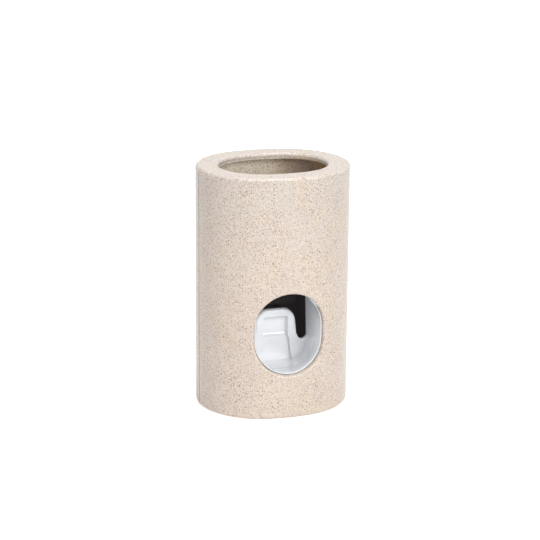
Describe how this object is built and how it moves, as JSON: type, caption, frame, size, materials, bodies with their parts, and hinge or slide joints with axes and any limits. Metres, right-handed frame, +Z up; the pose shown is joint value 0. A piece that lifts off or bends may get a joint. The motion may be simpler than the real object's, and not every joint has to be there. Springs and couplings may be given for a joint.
{
  "type": "toothpaste dispenser",
  "caption": "Oval speckled toothpaste dispenser: an upside-down tube stands in the top, and a toothbrush pushed into the front window presses a white cup that pumps paste.",
  "frame": {"origin": "centre of the foot, on the surface it stands on", "axes": "+Z up, -Y the front with the brush window, +X to the right seen from the front"},
  "size_m": [0.075, 0.064, 0.119],
  "materials": {
    "speckled_body": "matt beige plastic with fine brown and grey specks",
    "white_cup": "glossy white plastic",
    "black_core": "satin black plastic",
    "steel": "bright drawn steel",
    "silicone": "dark soft silicone",
    "adhesive_foam": "pale closed-cell adhesive foam"
  },
  "bodies": {
    "housing": {"front_shell": "speckled_body", "rear_shell": "speckled_body", "base_plate": "speckled_body", "core_frame": "black_core", "left_guide_rod": "steel", "right_guide_rod": "steel", "rod_clips": "steel", "left_return_spring": "steel", "right_return_spring": "steel", "pump_bellows": "silicone", "bellows_ring": "black_core", "pump_body": "black_core", "nozzle_cap": "black_core", "nozzle_lip": "silicone", "inlet_valve": "silicone", "valve_retainer": "black_core", "tube_socket": "white_cup", "tube_seal": "silicone", "base_screws": "steel", "core_screws": "steel", "clamp_screws": "steel", "pump_screws": "steel"},
    "push_cup": {"push_paddle": "white_cup"},
    "wall_mount": {"wall_plate": "white_cup", "adhesive_pad": "adhesive_foam"}
  },
  "joints": [
    {"name": "cup_slide", "type": "slide", "parent": "housing", "child": "push_cup", "axis": [0, 1, 0], "range_m": [0, 0.008], "stiffness_N_per_m": 150, "springref_m": -0.004, "deforming": ["left_return_spring", "right_return_spring", "pump_bellows"]},
    {"name": "plate_slide", "type": "slide", "parent": "housing", "child": "wall_mount", "axis": [0, 0, 1], "range_m": [-0.008, 0]}
  ]
}
